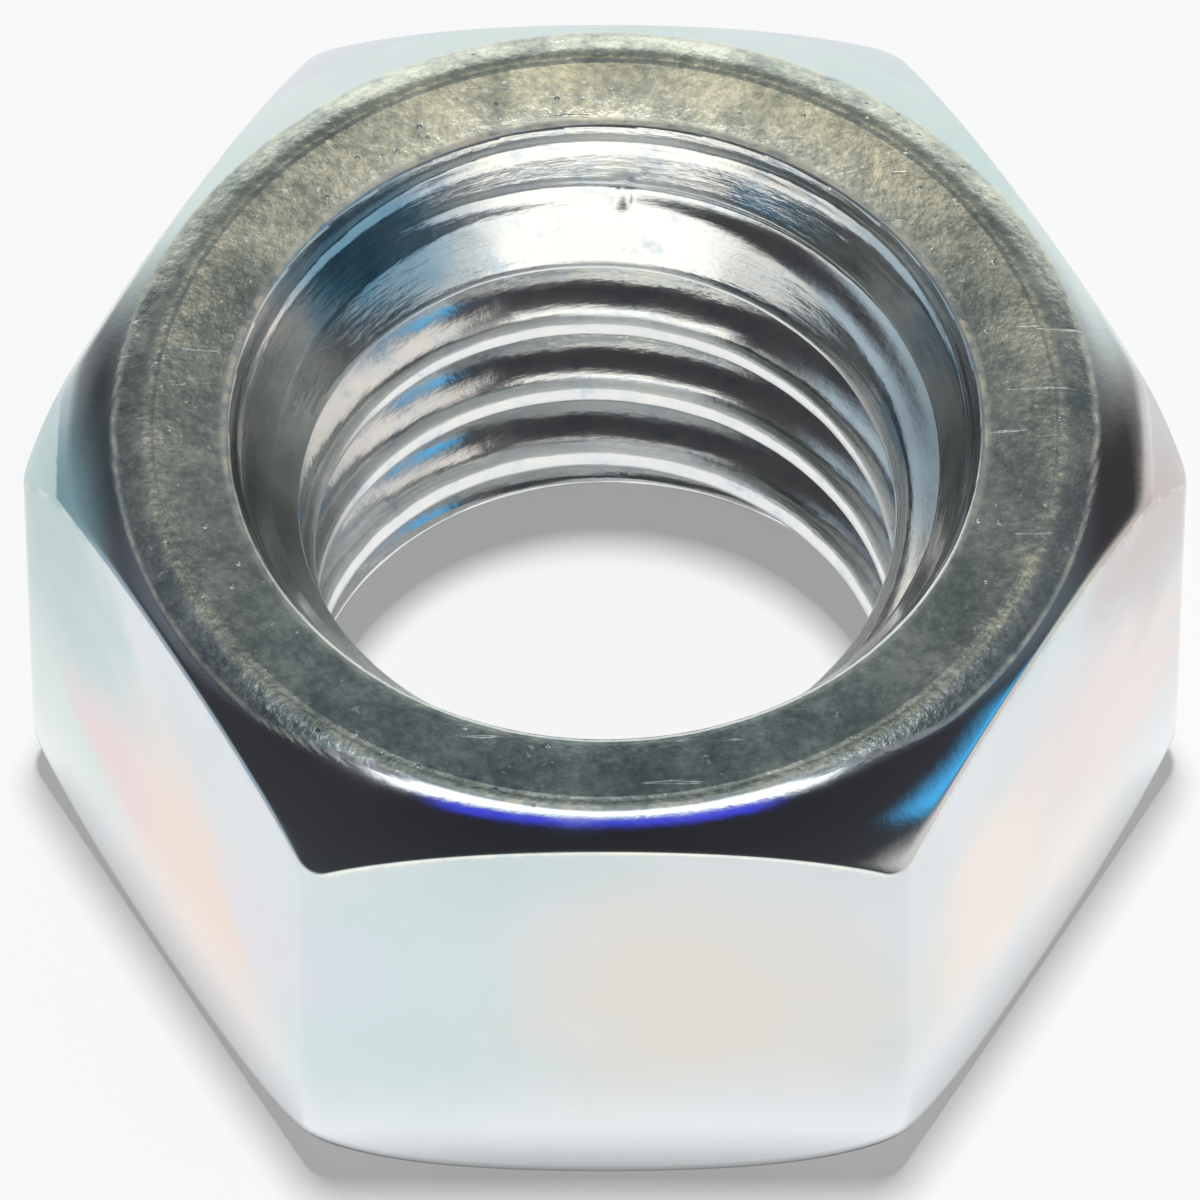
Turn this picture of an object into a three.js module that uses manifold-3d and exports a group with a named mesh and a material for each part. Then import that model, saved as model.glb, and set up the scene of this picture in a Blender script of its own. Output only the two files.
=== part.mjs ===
// Hex nut, 3/8-16 UNC, zinc plated steel.
//
// The nut is a single forged and tapped piece of steel: a hexagonal prism whose two ends are
// rounded down towards the corners, with a right-hand 60 degree thread cut right through it
// and a lead-in cone at each end of the thread.
//
// Millimetres. The origin is the centre of the lower bearing face, on the thread axis.
// +Z runs up the thread axis, X points at a corner, and -Y and +Y are square to two flats.

import * as THREE from 'three';
import { mergeVertices } from 'three/addons/utils/BufferGeometryUtils.js';
import Module from 'manifold-3d';

const wasm = await Module();
wasm.setup();

// ---- driving dimensions, mm --------------------------------------------------------------

const INCH = 25.4;
const DEGREE = Math.PI / 180;

const ACROSS_FLATS = 14.0;
const HEIGHT = 8.15;
const CORNER_RADIUS = 0.5; // rounding of the six upright corners

// Thread: 3/8 inch, 16 threads to the inch, 60 degree flanks, right hand.
const NOMINAL_DIAMETER = 0.375 * INCH;
const PITCH = INCH / 16;
const FLANK_ANGLE = 30 * DEGREE; // each flank against a plane square to the axis
const CREST_DIAMETER = 8.12; // the hole between the thread's crests
const ROOT_DIAMETER = 9.56; // the narrow flat at the bottom of the groove
const CREST_HEIGHT_AT_BACK = 4.83; // height of one crest's middle on the +Y side

// Each end of the prism is a flat bearing face, then an arc that steepens towards the corners.
const UPPER_END = { faceRadius: 6.33, arcRadius: 3.72, startSlope: 11 * DEGREE };
const LOWER_END = { faceRadius: 6.3, arcRadius: 2.05, startSlope: 0 };

// The lead-in cones. The half angle is measured from the thread axis.
const UPPER_LEAD_IN = { mouthRadius: 5.23, halfAngle: 30 * DEGREE };
const LOWER_LEAD_IN = { mouthRadius: 4.95, halfAngle: 45 * DEGREE };

// Facets.
const STEPS_PER_TURN = 40; // round the thread and the lead-in cones
const OUTSIDE_STEPS = 72; // round the rounded ends
const ARC_STEPS = 5; // down each rounded end
const FILLET_STEPS = 3; // round each upright corner

const OVERSHOOT = 1.0; // how far a cutting shape runs past the face it cuts
const CUTTER_OVERLAP = 0.2; // how far the groove cutter reaches inside the crest cylinder
const ENVELOPE_MARGIN = 0.25; // how far the rounded ends run on past the sharp hexagon corner
const MERGE_DISTANCE = 1e-5; // points closer than this are one point

// ---- solids ------------------------------------------------------------------------------

// A closed triangle mesh as a solid that can be cut and joined.
function toSolid(geometry) {
  const bare = geometry.clone();
  bare.deleteAttribute('normal');
  bare.deleteAttribute('uv');
  const merged = mergeVertices(bare, MERGE_DISTANCE);
  return new wasm.Manifold(new wasm.Mesh({
    numProp: 3,
    vertProperties: new Float32Array(merged.attributes.position.array),
    triVerts: new Uint32Array(merged.index.array),
  }));
}

// A solid back as a three.js geometry.
function toGeometry(solid) {
  const mesh = solid.getMesh();
  const geometry = new THREE.BufferGeometry();
  geometry.setAttribute('position', new THREE.Float32BufferAttribute(mesh.vertProperties, 3));
  geometry.setIndex(new THREE.Uint32BufferAttribute(mesh.triVerts, 1));
  geometry.computeVertexNormals();
  return geometry;
}

// A closed [radius, height] profile turned round the Z axis.
function turned(profile, steps) {
  const points = profile.map(([radius, height]) => new THREE.Vector2(radius, height));
  const geometry = new THREE.LatheGeometry(points, steps);
  geometry.rotateX(Math.PI / 2); // the lathe turns round Y, the nut stands along Z
  return geometry;
}

// ---- outside -----------------------------------------------------------------------------

// The hexagon with its corners rounded, one corner on +X.
function hexagonShape() {
  const shape = new THREE.Shape();
  const filletCentre = (ACROSS_FLATS / 2 - CORNER_RADIUS) / Math.cos(30 * DEGREE);
  for (let corner = 0; corner < 6; corner += 1) {
    const direction = corner * 60 * DEGREE;
    for (let step = 0; step <= FILLET_STEPS; step += 1) {
      const angle = direction + (step / FILLET_STEPS - 0.5) * 60 * DEGREE;
      const x = filletCentre * Math.cos(direction) + CORNER_RADIUS * Math.cos(angle);
      const y = filletCentre * Math.sin(direction) + CORNER_RADIUS * Math.sin(angle);
      if (corner === 0 && step === 0) {
        shape.moveTo(x, y);
      } else {
        shape.lineTo(x, y);
      }
    }
  }
  shape.closePath();
  return shape;
}

// The fall of a rounded end, as [radius, drop] points from its bearing face outwards.
function endArc({ faceRadius, arcRadius, startSlope }) {
  const reach = ACROSS_FLATS / 2 / Math.cos(30 * DEGREE) + ENVELOPE_MARGIN;
  const endSlope = Math.asin(Math.sin(startSlope) + (reach - faceRadius) / arcRadius);
  const points = [];
  for (let step = 0; step <= ARC_STEPS; step += 1) {
    const slope = startSlope + (endSlope - startSlope) * (step / ARC_STEPS);
    points.push([
      faceRadius + arcRadius * (Math.sin(slope) - Math.sin(startSlope)),
      arcRadius * (Math.cos(startSlope) - Math.cos(slope)),
    ]);
  }
  return points;
}

// The turned envelope that rounds both ends of the hexagon.
function endEnvelope() {
  const lower = endArc(LOWER_END);
  const upper = endArc(UPPER_END).map(([radius, drop]) => [radius, HEIGHT - drop]).reverse();
  return turned([[0, 0], ...lower, ...upper, [0, HEIGHT]], OUTSIDE_STEPS);
}

function outside() {
  const prism = new THREE.ExtrudeGeometry(hexagonShape(), {
    depth: HEIGHT + 2 * OVERSHOOT,
    bevelEnabled: false,
  });
  prism.translate(0, 0, -OVERSHOOT);
  return toSolid(prism).intersect(toSolid(endEnvelope()));
}

// ---- threaded hole -----------------------------------------------------------------------

// The cylinder between the thread's crests.
function crestCylinder() {
  const radius = CREST_DIAMETER / 2;
  return turned([
    [0, -OVERSHOOT],
    [radius, -OVERSHOOT],
    [radius, HEIGHT + OVERSHOOT],
    [0, HEIGHT + OVERSHOOT],
  ], STEPS_PER_TURN);
}

// The groove's section: [radius, height above the groove's middle], counter-clockwise.
function grooveSection() {
  const pitchRadius = NOMINAL_DIAMETER / 2 - (3 / 8) * PITCH * Math.cos(FLANK_ANGLE);
  const halfWidth = (radius) => PITCH / 4 - (radius - pitchRadius) * Math.tan(FLANK_ANGLE);
  const inner = CREST_DIAMETER / 2 - CUTTER_OVERLAP;
  const outer = ROOT_DIAMETER / 2;
  return [
    [inner, -halfWidth(inner)],
    [outer, -halfWidth(outer)],
    [outer, halfWidth(outer)],
    [inner, halfWidth(inner)],
  ];
}

// The groove's section swept up a right-hand helix, from below the nut to above it.
function grooveCutter() {
  const section = grooveSection();
  const corners = section.length;
  const backAngle = 90 * DEGREE;
  const startHeight = CREST_HEIGHT_AT_BACK + PITCH / 2 - PITCH * Math.ceil(HEIGHT / PITCH);
  const steps = Math.ceil((HEIGHT + OVERSHOOT - startHeight) / PITCH) * STEPS_PER_TURN;
  const positions = [];
  for (let step = 0; step <= steps; step += 1) {
    const turn = step / STEPS_PER_TURN;
    const angle = backAngle + turn * 2 * Math.PI;
    for (const [radius, height] of section) {
      positions.push(radius * Math.cos(angle), radius * Math.sin(angle));
      positions.push(startHeight + height + turn * PITCH);
    }
  }
  const triangles = [];
  for (let step = 0; step < steps; step += 1) {
    for (let corner = 0; corner < corners; corner += 1) {
      const here = step * corners + corner;
      const next = step * corners + ((corner + 1) % corners);
      triangles.push(here, next + corners, next);
      triangles.push(here, here + corners, next + corners);
    }
  }
  const last = steps * corners;
  triangles.push(0, 1, 2, 0, 2, 3);
  triangles.push(last, last + 2, last + 1, last, last + 3, last + 2);
  const geometry = new THREE.BufferGeometry();
  geometry.setAttribute('position', new THREE.Float32BufferAttribute(positions, 3));
  geometry.setIndex(triangles);
  return geometry;
}

// A cone that opens outwards through the face at the given height. Side is 1 up, -1 down.
function leadInCone({ mouthRadius, halfAngle }, faceHeight, side) {
  const growth = OVERSHOOT * Math.tan(halfAngle);
  const depth = mouthRadius / Math.tan(halfAngle);
  const profile = [
    [0, faceHeight - side * depth],
    [mouthRadius + growth, faceHeight + side * OVERSHOOT],
    [0, faceHeight + side * OVERSHOOT],
  ];
  return turned(side > 0 ? profile : profile.reverse(), STEPS_PER_TURN);
}

function threadedHole() {
  return toSolid(crestCylinder())
    .add(toSolid(grooveCutter()))
    .add(toSolid(leadInCone(UPPER_LEAD_IN, HEIGHT, 1)))
    .add(toSolid(leadInCone(LOWER_LEAD_IN, 0, -1)));
}

// ---- the nut -----------------------------------------------------------------------------

function nutBody() {
  const material = new THREE.MeshStandardMaterial({
    name: 'zinc_plated_steel',
    color: 0xa3a8a6,
    roughness: 0.3,
    metalness: 1,
  });
  const mesh = new THREE.Mesh(toGeometry(outside().subtract(threadedHole())), material);
  mesh.name = 'nut_body';
  return mesh;
}

const hexNut = new THREE.Group();
hexNut.add(nutBody());

export default hexNut;
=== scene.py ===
"""Zinc plated hex nut, 3/8-16 UNC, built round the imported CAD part.

The nut is one mesh. Every column of the mesh is one section through the thread axis: up the
threaded hole, out across the upper face, down a flat and back under the lower face. The rows in
the hole climb with the thread, so that its crests and its root are clean edges.
"""

import math

import bmesh
import bpy
import numpy as np
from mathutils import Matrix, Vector


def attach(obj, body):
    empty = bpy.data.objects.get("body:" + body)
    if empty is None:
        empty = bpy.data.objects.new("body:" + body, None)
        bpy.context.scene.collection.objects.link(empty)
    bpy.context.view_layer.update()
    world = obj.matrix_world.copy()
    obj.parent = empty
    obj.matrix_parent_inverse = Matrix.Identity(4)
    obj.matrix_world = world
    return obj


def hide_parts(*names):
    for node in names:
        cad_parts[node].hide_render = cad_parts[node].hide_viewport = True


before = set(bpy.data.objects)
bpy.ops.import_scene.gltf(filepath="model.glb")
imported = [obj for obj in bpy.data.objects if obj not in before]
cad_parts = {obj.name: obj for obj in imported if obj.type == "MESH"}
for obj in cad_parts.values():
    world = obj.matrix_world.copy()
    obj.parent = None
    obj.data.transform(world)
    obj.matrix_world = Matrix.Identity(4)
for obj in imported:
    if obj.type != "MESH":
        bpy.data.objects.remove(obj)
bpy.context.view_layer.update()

# ---- sizes in mm, the same as the CAD part's --------------------------------------------

MM = 0.001
ACROSS_FLATS = 14.0
HEIGHT = 8.15
CORNER_RADIUS = 0.5
PITCH = 25.4 / 16
NOMINAL_RADIUS = 9.525 / 2
CREST_RADIUS = 4.06
ROOT_RADIUS = 4.78
CREST_HEIGHT_AT_BACK = 4.83
FLANK = math.tan(math.radians(30))
PITCH_RADIUS = NOMINAL_RADIUS - 0.375 * PITCH * math.cos(math.radians(30))
UPPER_END = {"face_radius": 6.33, "arc_radius": 3.72, "start_slope": math.radians(11)}
LOWER_END = {"face_radius": 6.3, "arc_radius": 2.05, "start_slope": 0.0}
UPPER_MOUTH, UPPER_HALF_ANGLE = 5.23, math.radians(28.7)
SECOND_CUT_DEPTH, SECOND_CUT_HALF_ANGLE = 1.15, math.radians(36)  # the cone opens in two cuts
LOWER_MOUTH, LOWER_HALF_ANGLE = 4.95, math.radians(45)

# Small departures from the CAD part, mm, as on a real forged and tapped nut.
DISH = 0.11  # the upper face dips this much from its outer edge to the hole's rim
CREST_ROUNDING = 0.42
ROOT_ROUNDING = 0.22
CONE_ROUNDING = 0.08
RIM_ROUNDING = 0.01
FACE_EDGE_ROUNDING = 0.12
UPPER_DULL_RADIUS = 6.74  # the dull metal reaches a little way down the rounding
FLAT_EDGE_ROUNDING = 0.09

# The two blunter corners on the X axis: how deep the wear is, the radii it grows between, and
# the cosine of the angle from the X axis where it starts.
CORNER_WEAR = 0.5
CORNER_WEAR_RADII = (7.35, 8.0)
CORNER_WEAR_COSINE = 0.955

# Marks in the upper cone, mm and the depth below the upper face: a ring left by the
# countersink, and one nick at the back.
RING_DEPTH, RING_WIDTH, RING_CUT = 0.37, 0.06, 0.035
NICK_DEPTH, NICK_WIDTH, NICK_HEIGHT, NICK_CUT = 1.05, 0.1, 0.16, 0.12
NICK_ANGLE = math.radians(87)

# Ripples in the cut metal, mm: height, longest and shortest, and how stretched they are.
THREAD_RIPPLES = {"size": 0.003, "seed": 3, "longest": 2.0, "shortest": 0.45, "stretch": 1.6}
CONE_RIPPLES = {"size": 0.0025, "seed": 5, "longest": 3.0, "shortest": 0.6, "stretch": 1.5}
RIPPLE_COUNT = 24

# How far wear, painted highlights and painted shade spread from an edge, mm.
RIM_WEAR = 0.055
# A painted highlight: the pale line along the edge of the dull zone.
DULL_EDGE_HIGHLIGHT = 0.035
FLAT_EDGE_WEAR = 0.05
# Painted shade along the lower edges of the flats.
FOOT_SHADE_REACH = 0.09
FRONT_HIGHLIGHT = 0.36  # the front of the upper end is left as bright film this much further in: a painted highlight

# The mesh.
ROWS_PER_PITCH = 34
CORNER_COLUMNS = 5  # on each half of an upright corner
FLAT_COLUMNS = 50

# ---- the nut's section ------------------------------------------------------------------

FILLET_REACH = (ACROSS_FLATS / 2 - CORNER_RADIUS) / math.cos(math.radians(30))
FILLET_HALF_ANGLE = math.atan2(
    CORNER_RADIUS * math.sin(math.radians(30)),
    FILLET_REACH + CORNER_RADIUS * math.cos(math.radians(30)),
)


def column_angles():
    """Angles of the mesh's columns, closer together round the six upright corners."""
    sixth = math.radians(60)
    arc = np.linspace(0, FILLET_HALF_ANGLE, CORNER_COLUMNS + 1)[:-1]
    flat = np.linspace(FILLET_HALF_ANGLE, sixth - FILLET_HALF_ANGLE, FLAT_COLUMNS + 1)[:-1]
    last_arc = np.linspace(sixth - FILLET_HALF_ANGLE, sixth, CORNER_COLUMNS + 1)[:-1]
    sector = np.concatenate([arc, flat, last_arc])
    return np.concatenate([sector + corner * sixth for corner in range(6)])


def hexagon_radius(angle):
    """Distance from the axis to the hexagon's rounded outline. One corner is on +X."""
    off = np.abs((angle + math.radians(30)) % math.radians(60) - math.radians(30))
    flat = ACROSS_FLATS / 2 / np.cos(math.radians(30) - off)
    under = np.maximum(CORNER_RADIUS**2 - (FILLET_REACH * np.sin(off)) ** 2, 0)
    arc = FILLET_REACH * np.cos(off) + np.sqrt(under)
    return np.where(off < FILLET_HALF_ANGLE, arc, flat)


def end_drop(radius, face_radius, arc_radius, start_slope):
    """How far a rounded end has fallen below its bearing face at a radius."""
    sine = np.sin(start_slope) + (radius - face_radius) / arc_radius
    return arc_radius * (math.cos(start_slope) - np.sqrt(1 - sine**2))


def worn_corner(radius, angle):
    """Extra fall of the upper end at the two corners on the X axis, which are blunter."""
    start, end = CORNER_WEAR_RADII
    near = (np.abs(np.cos(angle)) - CORNER_WEAR_COSINE) / (1 - CORNER_WEAR_COSINE)
    outward = (radius - start) / (end - start)
    return CORNER_WEAR * np.clip(near, 0, 1) ** 2 * np.clip(outward, 0, 1) ** 2


def upper_surface(radius, angle):
    """Height of the upper end: the dished bearing face and the rounding outside it."""
    face_radius = UPPER_END["face_radius"]
    inner = np.clip((face_radius - radius) / (face_radius - UPPER_MOUTH), 0, 1.1)
    drop = end_drop(np.maximum(radius, face_radius), **UPPER_END) + worn_corner(radius, angle)
    return HEIGHT - drop - DISH * (inner + inner**2) / 2


def lower_surface(radius):
    """Height of the lower end: the flat bearing face and the rounding outside it."""
    return end_drop(np.maximum(radius, LOWER_END["face_radius"]), **LOWER_END)


def smooth_max(a, b, size):
    """The larger of two values, rounded where they meet."""
    mix = np.clip(0.5 + 0.5 * (a - b) / size, 0, 1)
    return b + (a - b) * mix + size * mix * (1 - mix)


def thread_radius(height):
    """Radius of the thread at a height above a crest's middle. It repeats every pitch."""
    off = np.abs((height / PITCH + 0.5) % 1 - 0.5) * PITCH
    half_land = PITCH / 4 - (PITCH_RADIUS - CREST_RADIUS) * FLANK
    flank = CREST_RADIUS + (off - half_land) / FLANK
    crest = smooth_max(flank, np.full_like(flank, CREST_RADIUS), CREST_ROUNDING)
    crest = crest - CREST_ROUNDING / 8
    return -smooth_max(-crest, np.full_like(crest, -ROOT_RADIUS), ROOT_ROUNDING)


def ripples(along, across, size, seed, longest, shortest, stretch):
    """A fixed pattern of ripples of a size in mm, longer along the first coordinate."""
    draw = np.random.default_rng(seed)
    total = np.zeros(np.broadcast(along, across).shape)
    for _ in range(RIPPLE_COUNT):
        length = longest * (shortest / longest) ** draw.random()
        turns_along = np.round(2 * math.pi / (length * stretch) * CREST_RADIUS)
        slant = 2 * math.pi / length * draw.uniform(-1, 1)
        sense, start = draw.choice([-1, 1]), draw.uniform(0, 2 * math.pi)
        total += np.cos(turns_along * along * sense + slant * across + start)
    return size * total / math.sqrt(RIPPLE_COUNT)


def tool_marks(height, angle):
    """How deep the countersink's ring and the nick are cut into the upper cone."""
    depth = HEIGHT - height
    wander = 0.03 * np.cos(2 * angle + 0.7) + 0.02 * np.cos(5 * angle)
    ring = np.exp(-(((depth - RING_DEPTH - wander) / RING_WIDTH) ** 2))
    across = (angle - NICK_ANGLE) * UPPER_MOUTH
    nick = np.exp(-((across / NICK_WIDTH) ** 2) - ((depth - NICK_DEPTH) / NICK_HEIGHT) ** 2)
    return RING_CUT * ring + NICK_CUT * nick


def hole_radius(height, angle):
    """Radius of the hole: the thread, opened out by the lead-in cone at each end."""
    turn = (angle - math.radians(90)) / (2 * math.pi)
    thread = thread_radius(height - CREST_HEIGHT_AT_BACK - turn * PITCH)
    thread = thread + ripples(angle, height, **THREAD_RIPPLES)
    depth = HEIGHT - height
    upper = UPPER_MOUTH - np.minimum(depth, SECOND_CUT_DEPTH) * math.tan(UPPER_HALF_ANGLE)
    upper = upper - np.maximum(depth - SECOND_CUT_DEPTH, 0) * math.tan(SECOND_CUT_HALF_ANGLE)
    upper = upper + ripples(angle, height, **CONE_RIPPLES) + tool_marks(height, angle)
    lower = LOWER_MOUTH - height * math.tan(LOWER_HALF_ANGLE)
    opened = smooth_max(thread, upper, CONE_ROUNDING)
    return smooth_max(opened, lower, CONE_ROUNDING)


def point(radius, height):
    """Points of the section, one for each column, as [radius, height]."""
    radius, height = np.broadcast_arrays(radius, height)
    return np.stack([radius, height], axis=-1).astype(float)


def rounded(before, corner, after, size, steps):
    """Points round a corner of the section: a curve from size before it to size after it."""

    def towards(other):
        step = other - corner
        return corner + step / np.linalg.norm(step, axis=-1, keepdims=True) * size

    start, end = towards(before), towards(after)
    shares = np.linspace(0, 1, steps + 1)
    return [(1 - t) ** 2 * start + 2 * t * (1 - t) * corner + t**2 * end for t in shares]


def between(count, bunched=0.8):
    """Shares of the way from one end to the other, both ends left out, bunched towards them."""
    share = np.linspace(0, 1, count + 2)[1:-1]
    return share - np.sin(2 * math.pi * share) / (2 * math.pi) * bunched


# ---- the nut's mesh ---------------------------------------------------------------------


def smooth_step(value, start, end):
    """0 before the start, 1 after the end, and an easy curve between them."""
    share = np.clip((value - start) / (end - start), 0, 1)
    return share * share * (3 - 2 * share)


def hole_rows(angles, low, high):
    """Up the threaded hole. Each row climbs one pitch a turn, and stops at the rims."""
    climb = (angles - math.radians(90)) / (2 * math.pi) * PITCH
    first = math.floor((low - CREST_HEIGHT_AT_BACK) / PITCH) - 1
    last = math.ceil((high - CREST_HEIGHT_AT_BACK) / PITCH) + 1
    rows = []
    for step in range(first * ROWS_PER_PITCH, last * ROWS_PER_PITCH):
        level = CREST_HEIGHT_AT_BACK + step / ROWS_PER_PITCH * PITCH
        height = np.clip(level + climb, low, high)
        rows.append(point(hole_radius(height, angles), height))
    return rows


def upper_rows(angles, edge, high):
    """Out over the upper rim, the bearing face and the rounded end, to the flats' top edge."""
    face_radius = UPPER_END["face_radius"]

    def on_top(radius):
        return point(radius, upper_surface(radius, angles))

    rim = on_top(UPPER_MOUTH + 0 * angles)
    below = point(hole_radius(high + 0 * angles, angles), high)
    face_edge = on_top(face_radius + 0 * angles)
    beyond = on_top(face_radius + FACE_EDGE_ROUNDING + 0 * angles)
    rows = rounded(below, rim, face_edge, RIM_ROUNDING, 3)[1:]
    start, end = UPPER_MOUTH + RIM_ROUNDING, face_radius - FACE_EDGE_ROUNDING
    rows += [on_top(start + share * (end - start) + 0 * angles) for share in between(14)]
    rows += rounded(rim, face_edge, beyond, FACE_EDGE_ROUNDING, 4)
    start, end = face_radius + FACE_EDGE_ROUNDING, edge - FLAT_EDGE_ROUNDING
    rows += [on_top(start + share * (end - start)) for share in between(18, 0)]
    corner = on_top(edge)
    return rows + rounded(on_top(end), corner, corner - [0, 1], FLAT_EDGE_ROUNDING, 5)


def lower_rows(angles, edge, low):
    """In under the nut, over the rounded end and the bearing face, to the hole's lower rim."""
    face_radius = LOWER_END["face_radius"]

    def underneath(radius):
        return point(radius, lower_surface(radius))

    corner = underneath(edge)
    start = edge - FLAT_EDGE_ROUNDING
    rows = rounded(corner + [0, 1], corner, underneath(start), FLAT_EDGE_ROUNDING, 5)
    rows += [underneath(start + share * (face_radius - start)) for share in between(14, 0)]
    inner = LOWER_MOUTH + RIM_ROUNDING
    across = inner - face_radius
    rows += [underneath(face_radius + share * across + 0 * angles) for share in between(12)]
    rim = underneath(LOWER_MOUTH + 0 * angles)
    inside = point(hole_radius(low + 0 * angles, angles), low)
    return rows + rounded(rim + [1, 0], rim, inside, RIM_ROUNDING, 3)[:-1]


def all_rows(angles):
    """Every row of the mesh, and how many of them are in the hole."""
    edge = hexagon_radius(angles)
    high = HEIGHT - DISH - RIM_ROUNDING * math.cos(UPPER_HALF_ANGLE)
    low = RIM_ROUNDING * math.cos(LOWER_HALF_ANGLE)
    top = upper_surface(edge, angles) - FLAT_EDGE_ROUNDING
    bottom = lower_surface(edge) + FLAT_EDGE_ROUNDING
    inside = hole_rows(angles, low, high)
    flats = [point(edge, top + share * (bottom - top)) for share in between(14)]
    rows = inside + upper_rows(angles, edge, high) + flats + lower_rows(angles, edge, low)
    return np.array(rows), len(inside)


def dull_limit(angles):
    """Radius where the dull metal of the upper end stops. The front is left bright further in, a painted
    highlight.
    """
    return UPPER_DULL_RADIUS - FRONT_HIGHLIGHT * smooth_step(-np.sin(angles), 0.7, 0.97)


def dull_amount(radius, height, angles):
    """How dull the metal is: 1 on both bearing faces and the gentle start of their rounding."""
    limit = np.where(height > HEIGHT / 2, dull_limit(angles), LOWER_END["face_radius"])
    near_end = smooth_step(np.abs(height - HEIGHT / 2), HEIGHT / 2 - 1.2, HEIGHT / 2 - 0.6)
    return near_end * (1 - smooth_step(radius, limit - 0.03, limit + 0.05))


def wear_and_highlight_amount(radius, height, angles):
    """How worn the metal is, with painted highlights: 1 on the back of the upper rim, less on the other
    edges. The wear on the rim is made stronger at the back, and the line along the edge of the dull zone
    is a painted highlight.
    """
    rim = np.hypot(radius - UPPER_MOUTH, height - HEIGHT + DISH)
    outline = hexagon_radius(angles)
    upper = np.hypot(radius - outline, height - upper_surface(outline, angles))
    lower_half = height < HEIGHT / 2
    dull_edge = np.abs(radius - dull_limit(angles)) + lower_half  # 1 mm off, so no painted highlight there
    # Painted highlight: the rim is made brighter at the back than at the front.
    back_highlight_share = 0.3 + 0.7 * smooth_step(np.sin(angles), -0.4, 0.3)
    worn = back_highlight_share * np.exp(-((rim / RIM_WEAR) ** 2))
    # Painted highlight: a thin pale line along the edge of the dull zone.
    worn = worn + 0.8 * np.exp(-((dull_edge / DULL_EDGE_HIGHLIGHT) ** 2))
    return worn + 0.5 * np.exp(-((upper / FLAT_EDGE_WEAR) ** 2))


def foot_shade_amount(radius, height, angles):
    """How much painted shade the metal takes: 1 along the lower edges of the flats, where the rounding
    mirrors the dark gap under the nut.
    """
    outline = hexagon_radius(angles)
    lower = np.hypot(radius - outline, height - lower_surface(outline))
    return np.exp(-((lower / FOOT_SHADE_REACH) ** 2))


def nut_mesh():
    """The nut as one closed mesh, with its zones stored on its points."""
    angles = np.append(column_angles(), 2 * math.pi)
    section, inside = all_rows(angles)
    radius, height = section[..., 0], section[..., 1]
    places = np.stack([radius * np.cos(angles), radius * np.sin(angles), height], axis=-1)
    ids = np.arange(radius.size).reshape(radius.shape)
    onward = np.roll(ids, -1, axis=0)
    faces = np.stack([ids[:, :-1], ids[:, 1:], onward[:, 1:], onward[:, :-1]], axis=-1)
    mesh = bpy.data.meshes.new("zinc_hex_nut")
    mesh.from_pydata((places.reshape(-1, 3) * MM).tolist(), [], faces.reshape(-1, 4).tolist())
    in_hole = np.zeros(radius.shape)
    in_hole[:inside] = 1
    zones = {
        "hole": in_hole,
        "face": dull_amount(radius, height, angles) * (1 - in_hole),
        "edge": wear_and_highlight_amount(radius, height, angles),
        "foot": foot_shade_amount(radius, height, angles),
    }
    for name, amount in zones.items():
        layer = mesh.attributes.new(name, "FLOAT", "POINT")
        layer.data.foreach_set("value", amount.astype(np.float32).ravel())
    work = bmesh.new()
    work.from_mesh(mesh)
    bmesh.ops.remove_doubles(work, verts=work.verts, dist=1e-4 * MM)
    bmesh.ops.recalc_face_normals(work, faces=work.faces)
    for face in work.faces:
        face.smooth = True
    work.to_mesh(mesh)
    work.free()
    return mesh


# ---- material nodes ---------------------------------------------------------------------


class Nodes:
    """Short calls for the nodes that the materials and the world are made of."""

    def __init__(self, tree):
        self.tree = tree

    def make(self, kind, inputs=(), output=0, **settings):
        """A node's output socket. Inputs are sockets to link or plain values."""
        node = self.tree.nodes.new(kind)
        for name, value in settings.items():
            setattr(node, name, value)
        for key, value in dict(inputs).items():
            if isinstance(value, bpy.types.NodeSocket):
                self.tree.links.new(value, node.inputs[key])
            else:
                node.inputs[key].default_value = value
        return node.outputs[output]

    def math(self, operation, a, b=0.0, clamp=False):
        return self.make("ShaderNodeMath", {0: a, 1: b}, operation=operation, use_clamp=clamp)

    def ramp(self, value, stops):
        """A colour ramp of (place, colour) stops."""
        socket = self.make("ShaderNodeValToRGB", {"Fac": value})
        elements = socket.node.color_ramp.elements
        elements.remove(elements[-1])
        for number, (place, colour) in enumerate(stops):
            stop = elements[0] if number == 0 else elements.new(place)
            stop.position = place
            stop.color = (*colour, 1)
        return socket

    def spread(self, value, low, high, to_low=0.0, to_high=1.0):
        """A value between low and high turned into one between to_low and to_high."""
        inputs = {"Value": value, "From Min": low, "From Max": high, "To Min": to_low, "To Max": to_high}
        return self.make("ShaderNodeMapRange", inputs, interpolation_type="SMOOTHSTEP")

    def mix(self, share, a, b, blend="MIX"):
        """A colour between a and b, or a blended with b."""
        inputs = {0: share, 6: a, 7: b}
        return self.make("ShaderNodeMix", inputs, output=2, data_type="RGBA", blend_type=blend)

    def noise(self, place, scale, detail=2.0, roughness=0.5):
        """Cloudy noise. The scale is lumps for each unit of the place."""
        inputs = {"Vector": place, "Scale": scale, "Detail": detail, "Roughness": roughness}
        return self.make("ShaderNodeTexNoise", inputs)


def colour(red, green, blue):
    return (red, green, blue, 1.0)


def new_material(name):
    material = bpy.data.materials.new(name)
    material.use_nodes = True
    return material, Nodes(material.node_tree), material.node_tree.nodes["Principled BSDF"]


RELIEF = 0.009  # mm, how deep the fine relief is

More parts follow.
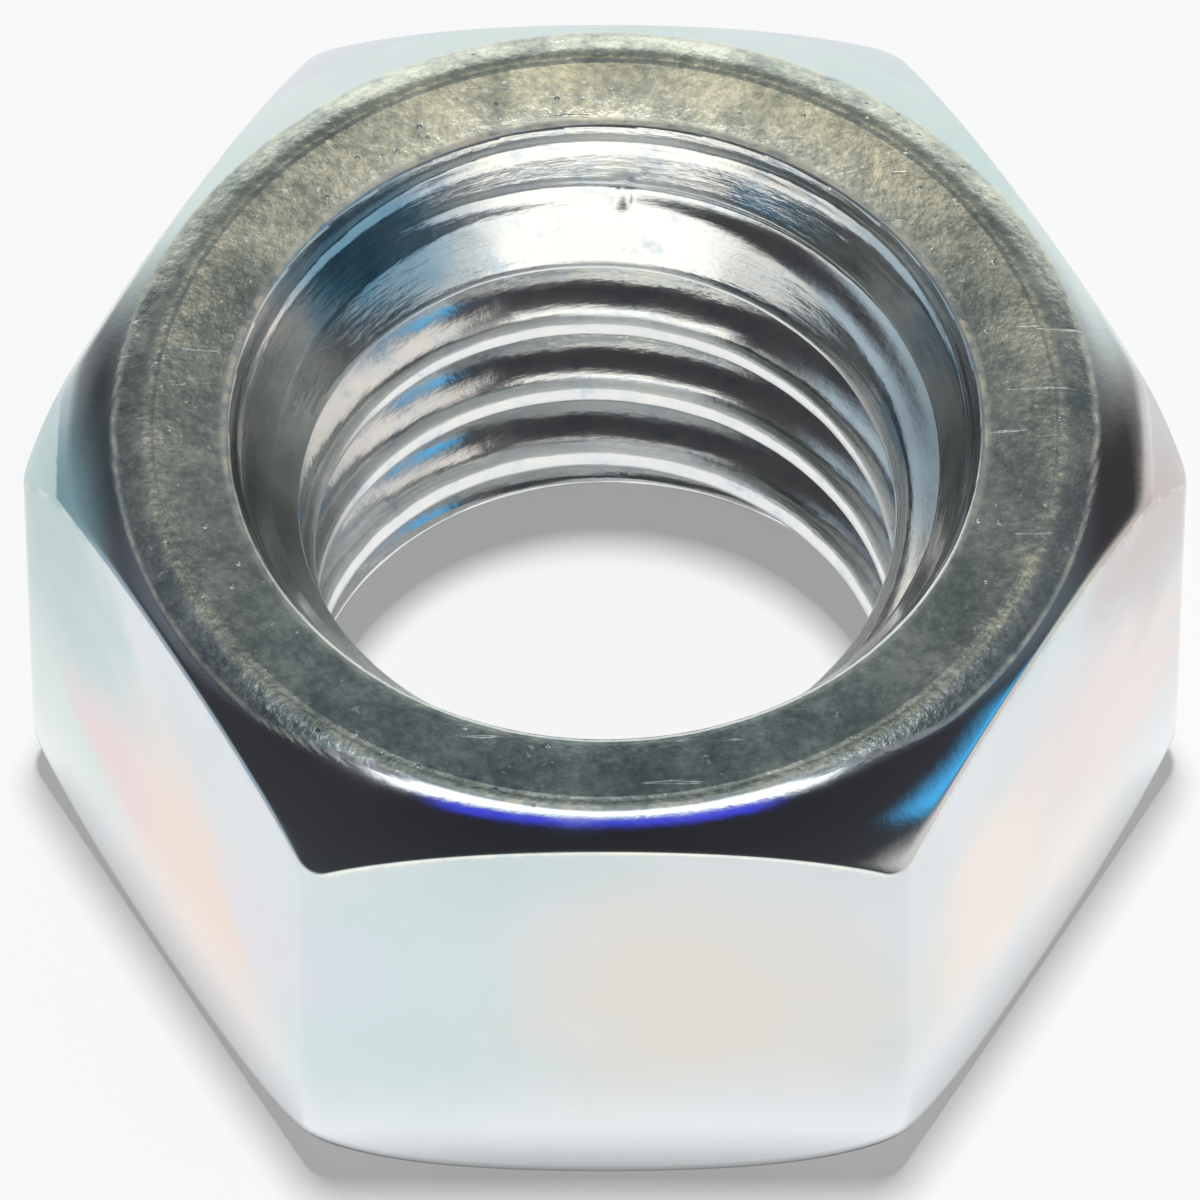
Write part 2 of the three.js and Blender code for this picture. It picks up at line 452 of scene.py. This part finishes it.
# Clouds in the chromate film: centre on the nut in mm, reach, colour, strength.
FILM_CLOUDS = [
    ((0.0, 0.0, 0.0), 8.4, (0.76, 0.86, 0.90), 0.55),
    ((-3.4, -7.0, 4.5), 4.0, (0.66, 0.79, 0.80), 0.9),
    ((1.3, -7.0, 4.6), 4.2, (0.79, 0.76, 0.71), 1.0),
    ((-5.8, -3.9, 3.0), 3.9, (0.92, 0.75, 0.66), 1.0),
    ((-4.4, -6.2, 5.0), 2.3, (0.77, 0.76, 0.84), 0.8),
    ((-7.4, -1.0, 5.0), 3.0, (0.56, 0.70, 0.70), 0.9),
    ((5.4, -4.6, 3.8), 3.2, (0.94, 0.82, 0.73), 1.0),
    ((6.3, -2.9, 5.2), 2.4, (0.78, 0.72, 0.73), 0.8),
    ((7.2, -1.5, 4.0), 2.6, (0.90, 0.77, 0.73), 0.9),
    ((7.7, -0.7, 7.0), 2.6, (0.60, 0.54, 0.53), 1.0),
    ((-6.9, -2.0, 3.6), 2.2, (0.86, 0.67, 0.69), 0.9),
    ((-7.6, -0.8, 6.8), 2.6, (0.46, 0.60, 0.60), 1.0),
    ((-7.6, -0.9, 2.0), 2.2, (0.66, 0.79, 0.72), 0.8),
    ((6.6, -2.4, 1.6), 2.2, (0.95, 0.84, 0.74), 0.8),
    ((-6.0, 3.6, 3.0), 3.6, (0.84, 0.77, 0.71), 0.6),
    ((0.8, 7.0, 4.2), 3.8, (0.79, 0.77, 0.83), 0.6),
    ((6.2, 3.4, 4.4), 3.4, (0.86, 0.80, 0.73), 0.6),
]

# The same, for the threads: the teal and the grey clouds are stains, the two dark clouds on the left are
# painted shade in the hole, and the pale one at the front right is a painted highlight.
THREAD_STAINS_AND_SHADING = [
    ((-3.2, 3.4, 7.3), 2.2, (0.18, 0.40, 0.58), 1.0),
    ((4.9, 0.6, 7.4), 2.6, (0.46, 0.50, 0.51), 1.0),
    # Painted shade in the hole, on the left.
    ((-4.5, -1.7, 7.0), 3.9, (0.22, 0.25, 0.24), 1.0),
    ((-4.2, -0.4, 4.2), 3.4, (0.26, 0.29, 0.28), 1.0),
    # A painted highlight at the front right of the hole.
    ((4.4, -2.3, 6.6), 2.4, (1.0, 0.97, 0.92), 1.0),
]

# Painted light on the dull upper face: darker at the front and lighter at the back.
FACE_SHADING_TINTS = [
    ((-0.5, -6.0, HEIGHT), 8.0, (0.66, 0.74, 0.80), 1.0),
    ((0.3, 5.4, HEIGHT), 8.6, (1.42, 1.37, 1.24), 1.0),
]


def clouded(make, place, base, clouds):
    """A colour with clouds of other colours in it, their outlines wandering a little."""
    shift = make.make("ShaderNodeTexNoise", {"Vector": place, "Scale": 0.45, "Detail": 3.0}, output=1)
    shift = make.make("ShaderNodeVectorMath", {0: shift, 1: (0.5, 0.5, 0.5)}, operation="SUBTRACT")
    shift = make.make("ShaderNodeVectorMath", {0: shift, 3: 3.2}, operation="SCALE")
    drifted = make.make("ShaderNodeVectorMath", {0: place, 1: shift}, operation="ADD")
    for centre, reach, shade, amount in clouds:
        away = make.make("ShaderNodeVectorMath", {0: drifted, 1: centre}, output=1, operation="DISTANCE")
        base = make.mix(make.spread(away, 0.15 * reach, reach, amount, 0.0), base, colour(*shade))
    return base


def film_colour(make, place):
    """The clear chromate film over the zinc: cyan grey with warm and lavender clouds in it. It is
    painted paler towards the bottom, a painted highlight against the shadow that the lower flats mirror.
    """
    film = make.ramp(make.noise(place, 0.3, 3), [
        (0.35, (0.64, 0.74, 0.75)),
        (0.65, (0.76, 0.79, 0.83)),
    ])
    film = clouded(make, place, film, FILM_CLOUDS)
    # Painted highlight: paler towards the bottom of the flats.
    height = make.make("ShaderNodeSeparateXYZ", {0: place}, output=2)
    return make.mix(make.spread(height, 0.0, 3.2, 0.85, 0.0), film, colour(0.96, 0.98, 1.0))


def dull_colour(make, place):
    """The bearing faces: mottled grey with bright dots painted as glints, painted lighter at the back
    and darker at the front.
    """
    coarse = make.noise(place, 1.1, 3, 0.6)
    fine = make.noise(place, 6.0, 4, 0.7)
    mottle = make.math("ADD", make.math("MULTIPLY", coarse, 0.5), make.math("MULTIPLY", fine, 0.5))
    dull = make.ramp(mottle, [
        (0.38, (0.32, 0.36, 0.37)),
        (0.49, (0.50, 0.54, 0.53)),
        (0.61, (0.76, 0.78, 0.73)),
    ])
    # Painted glints: bright dots on the dull metal.
    painted_glints = make.spread(make.noise(place, 5.5, 2, 0.6), 0.68, 0.74, 0.0, 0.9)
    dull = make.mix(painted_glints, dull, colour(1.0, 1.0, 0.96))
    # Painted light: the upper face darker at the front and lighter at the back.
    face_shading = clouded(make, place, colour(1.0, 1.0, 1.0), FACE_SHADING_TINTS)
    return make.mix(1.0, dull, face_shading, blend="MULTIPLY")


def thread_colour(make, place):
    """The hole: brighter cut metal with blue and grey stains, painted shade on the left and a painted
    highlight at the front right.
    """
    metal = make.ramp(make.noise(place, 2.2, 4, 0.65), [
        (0.30, (0.66, 0.74, 0.80)),
        (0.42, (0.86, 0.89, 0.90)),
        (0.75, (0.98, 0.96, 0.90)),
    ])
    return clouded(make, place, metal, THREAD_STAINS_AND_SHADING)


def zinc_colour(make, place, zone):
    """The colours of the zones, with worn edges that carry painted highlights, and painted shade along
    the lower edges of the flats.
    """
    shade = make.mix(zone["face"], film_colour(make, place), dull_colour(make, place))
    shade = make.mix(zone["hole"], shade, thread_colour(make, place))
    # Pale gold on the worn edges. At the back of the upper rim and along the edge of the dull zone it is
    # a painted highlight.
    patches = make.spread(make.noise(place, 4.0, 3), 0.42, 0.60, 0.0, 0.9)
    shade = make.mix(make.math("MULTIPLY", zone["edge"], patches), shade, colour(1.0, 0.93, 0.76))
    # Painted shade: near black along the lower edges of the flats.
    return make.mix(make.math("MULTIPLY", zone["foot"], 0.85), shade, colour(0.10, 0.11, 0.13))


def zinc_roughness(make, place, zone):
    """The film is bright, the bearing faces and the worn edges are satin."""
    patchy = make.spread(make.noise(place, 0.9, 4), 0.3, 0.7, 0.05, 0.11)
    satin = make.math("MULTIPLY", zone["face"], 0.13)
    burred = make.math("MULTIPLY", zone["edge"], 0.4)
    torn = make.math("MULTIPLY", zone["hole"], 0.07)
    return make.math("ADD", make.math("ADD", satin, burred), make.math("ADD", patchy, torn))


def zinc_relief(make, place, zone):
    """Pits, grain and a few scratches on the faces, and torn metal in the hole."""
    pits = make.make("ShaderNodeTexVoronoi", {"Vector": place, "Scale": 2.6, "Randomness": 1.0})
    pit_depth = make.spread(pits, 0.02, 0.11, -1.0, 0.0)
    slanted = {"Vector": place, "Rotation": (0, 0, 0.9), "Scale": (0.35, 5.0, 1.0)}
    streaks = make.noise(make.make("ShaderNodeMapping", slanted), 1.3, 2, 0.5)
    scratches = make.spread(streaks, 0.70, 0.76, 0.0, -0.6)
    grain = make.noise(place, 8.0, 3, 0.6)
    on_face = make.math("ADD", pit_depth, scratches)
    on_face = make.math("ADD", on_face, make.math("MULTIPLY", grain, 0.7))
    flattened = make.make("ShaderNodeMapping", {"Vector": place, "Scale": (0.5, 0.5, 4.0)})
    torn = make.math("MULTIPLY", make.noise(flattened, 2.6, 4, 0.6), 0.5)
    speckled = make.math("MULTIPLY", make.noise(place, 5.0, 3, 0.6), 0.4)
    in_hole = make.math("ADD", torn, speckled)
    relief = make.math(
        "ADD",
        make.math("MULTIPLY", on_face, zone["face"]),
        make.math("MULTIPLY", in_hole, zone["hole"]),
    )
    relief = make.math("ADD", relief, make.math("MULTIPLY", grain, 0.08))
    return make.make("ShaderNodeBump", {"Height": relief, "Strength": 1.0, "Distance": RELIEF * MM})


def zinc_plate():
    """Bright zinc: dull and mottled on the bearing faces, pearly on the flats."""
    material, make, shader = new_material("zinc_plate")
    object_place = make.make("ShaderNodeTexCoord", output="Object")
    place = make.make("ShaderNodeVectorMath", {0: object_place, 3: 1 / MM}, operation="SCALE")
    zone = {
        name: make.make("ShaderNodeAttribute", output="Fac", attribute_name=name)
        for name in ("hole", "face", "edge", "foot")
    }
    links = material.node_tree.links
    links.new(zinc_colour(make, place, zone), shader.inputs["Base Color"])
    links.new(zinc_roughness(make, place, zone), shader.inputs["Roughness"])
    links.new(zinc_relief(make, place, zone), shader.inputs["Normal"])
    shader.inputs["Metallic"].default_value = 1.0
    return material


def floor_material():
    """Pale matt table. From below it lets everything through, so the nut's underside shows."""
    material, make, shader = new_material("pale_floor")
    tree = material.node_tree
    shader.inputs["Base Color"].default_value = colour(0.22, 0.22, 0.22)
    shader.inputs["Emission Color"].default_value = colour(1.0, 1.0, 1.0)
    shader.inputs["Emission Strength"].default_value = 0.30
    shader.inputs["Roughness"].default_value = 1.0
    shader.inputs["Specular IOR Level"].default_value = 0.0
    behind = make.make("ShaderNodeNewGeometry", output=6)
    clear = make.make("ShaderNodeBsdfTransparent")
    both = make.make("ShaderNodeMixShader", {0: behind, 1: shader.outputs["BSDF"], 2: clear})
    tree.links.new(both, tree.nodes["Material Output"].inputs["Surface"])
    return material


# ---- the scene --------------------------------------------------------------------------

ZINC_REFLECTANCE = 0.8
LOWEST_CEILING = 0.05  # keeps the ceiling lights above the horizon
SCREEN_GAMMA = 2.2
FLOOR_HALF_SIDE = 1.5  # m
LAMP_STRENGTH, LAMP_ANGLE, LAMP_TILT = 8.0, math.radians(7), math.radians(-3)
CAMERA_ELEVATION = 55  # degrees
CAMERA_DISTANCE = 280  # mm
CAMERA_AIM = (-0.069, -0.057, 4.035)  # mm
CAMERA_LENS = 605.4  # mm, on a 36 mm sensor


def add_nut():
    """The nut, in the place of its CAD node."""
    nut = bpy.data.objects.new("zinc_hex_nut", nut_mesh())
    nut.data.materials.append(zinc_plate())
    bpy.context.scene.collection.objects.link(nut)
    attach(nut, "root")
    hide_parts("nut_body")


def add_floor():
    """The table under the nut."""
    side = FLOOR_HALF_SIDE
    mesh = bpy.data.meshes.new("floor")
    corners = [(-side, -side, 0), (side, -side, 0), (side, side, 0), (-side, side, 0)]
    mesh.from_pydata(corners, [], [(0, 1, 2, 3)])
    mesh.materials.append(floor_material())
    floor = bpy.data.objects.new("floor", mesh)
    bpy.context.scene.collection.objects.link(floor)


def bearing(azimuth, elevation):
    """The direction at an azimuth, 0 at the front and 90 on the right, and an elevation."""
    a, e = math.radians(azimuth), math.radians(elevation)
    return (math.sin(a) * math.cos(e), -math.cos(a) * math.cos(e), math.sin(e))


def glow(red, green, blue):
    """A screen colour, 0 to 255, as the light that shows so in a zinc mirror."""
    return tuple((part / 255) ** SCREEN_GAMMA / ZINC_REFLECTANCE for part in (red, green, blue))


# The room from the horizon up, as (elevation, screen colour): a pale surround and a dim ceiling.
ROOM_SHADES = [
    (0, (240, 240, 240)),
    (15, (205, 205, 200)),
    (24, (120, 120, 120)),
    (31, (64, 64, 66)),
    (90, (46, 44, 48)),
]

# Lights and boards on the walls, later ones in front: the bearing of the middle, 0 at the front
# and 90 on the right, and the half width, the lowest and the highest elevation, the softness of
# the edges, all in degrees, and the screen colour.
WALL_LIGHTS = [
    (0, 36, -90, 35, 7, (250, 248, 242)),  # the front window
    (84, 34, -90, 46, 6, (205, 200, 195)),  # the right window
    (88, 20, 50, 58, 4, (80, 175, 230)),  # its blue upper edge
    (262, 32, -90, 38, 10, (150, 165, 175)),  # a dim board on the left
    (180, 64, 48, 74, 8, (100, 105, 110)),  # a wide grey board behind
    (180, 40, 38, 74, 6, (110, 115, 115)),  # a lower grey board behind
    (176, 36, -90, 33, 8, (225, 230, 225)),  # a pale board low behind
]

# Lights in the ceiling, each a soft rectangle. Its middle and half size across and backwards,
# and the softness of its edges, are shares of the ceiling's height above the nut.
CEILING_LIGHTS = [
    (0.0, 0.53, 0.14, 0.10, 0.10, (230, 220, 195)),  # a warm lamp
    (0.0, 0.085, 0.19, 0.035, 0.03, (70, 75, 215)),  # the blue rim of the soft box
    (0.0, 0.22, 0.24, 0.09, 0.03, (340, 340, 335)),  # the soft box
]


def wall_light(make, around, elevation, light):
    """How much of a wall light lies in a direction, 0 to 1."""
    middle, half_width, low, high, soft, _ = light
    off = make.math("SUBTRACT", around, middle)
    off = make.make("ShaderNodeMath", {0: off, 1: 180.0, 2: -180.0}, operation="WRAP")
    off = make.math("ABSOLUTE", off)
    beside = make.spread(off, half_width - soft, half_width + soft, 1.0, 0.0)
    above = make.spread(elevation, low - soft, low + soft)
    below = make.spread(elevation, high - soft, high + soft, 1.0, 0.0)
    return make.math("MULTIPLY", beside, make.math("MULTIPLY", above, below))


def ceiling_light(make, across, backwards, light):
    """How much of a ceiling light lies in a direction, 0 to 1."""
    middle_across, middle_back, half_across, half_back, soft, _ = light
    share = 1.0
    for place, middle, half in (
        (across, middle_across, half_across),
        (backwards, middle_back, half_back),
    ):
        off = make.math("ABSOLUTE", make.math("SUBTRACT", place, middle))
        share = make.math("MULTIPLY", make.spread(off, half - soft, half + soft, 1.0, 0.0), share)
    return share


def add_studio():
    """The room that the metal mirrors: a pale horizon, windows, boards and a soft box."""
    world = bpy.data.worlds.new("studio")
    world.use_nodes = True
    make = Nodes(world.node_tree)
    direction = make.make("ShaderNodeTexCoord", output="Generated")
    x, y, z = (make.make("ShaderNodeSeparateXYZ", {0: direction}, output=axis) for axis in "XYZ")
    elevation = make.math("DEGREES", make.math("ARCSINE", z))
    around = make.math("DEGREES", make.math("ARCTAN2", x, make.math("MULTIPLY", y, -1.0)))
    up = make.math("MAXIMUM", z, LOWEST_CEILING)
    across, backwards = make.math("DIVIDE", x, up), make.math("DIVIDE", y, up)
    stops = [(height / 90, glow(*shade)) for height, shade in ROOM_SHADES]
    room = make.ramp(make.math("DIVIDE", elevation, 90.0), stops)
    for light in WALL_LIGHTS:
        share = wall_light(make, around, elevation, light)
        room = make.mix(share, room, colour(*glow(*light[-1])))
    for light in CEILING_LIGHTS:
        share = ceiling_light(make, across, backwards, light)
        room = make.mix(share, room, colour(*glow(*light[-1])))
    world.node_tree.links.new(room, world.node_tree.nodes["Background"].inputs["Color"])
    bpy.context.scene.world = world


def add_lamp():
    """A lamp straight above the table, very slightly behind. The metal does not mirror it."""
    data = bpy.data.lights.new("lamp", "SUN")
    data.energy = LAMP_STRENGTH
    data.angle = LAMP_ANGLE
    lamp = bpy.data.objects.new("lamp", data)
    lamp.rotation_euler = (LAMP_TILT, 0, 0)
    lamp.visible_glossy = False
    bpy.context.scene.collection.objects.link(lamp)


def add_camera():
    """A long lens, 55 degrees above the table, square to the front flat."""
    data = bpy.data.cameras.new("camera")
    data.sensor_width = 36
    data.lens = CAMERA_LENS
    data.clip_start, data.clip_end = 0.01, 10
    camera = bpy.data.objects.new("camera", data)
    bpy.context.scene.collection.objects.link(camera)
    back = Vector(bearing(0, CAMERA_ELEVATION))
    camera.location = (Vector(CAMERA_AIM) + back * CAMERA_DISTANCE) * MM
    camera.rotation_mode = "QUATERNION"
    camera.rotation_quaternion = (-back).to_track_quat("-Z", "Y")
    bpy.context.scene.camera = camera


add_nut()
add_floor()
add_studio()
add_lamp()
add_camera()
bpy.context.scene.view_settings.view_transform = "Standard"
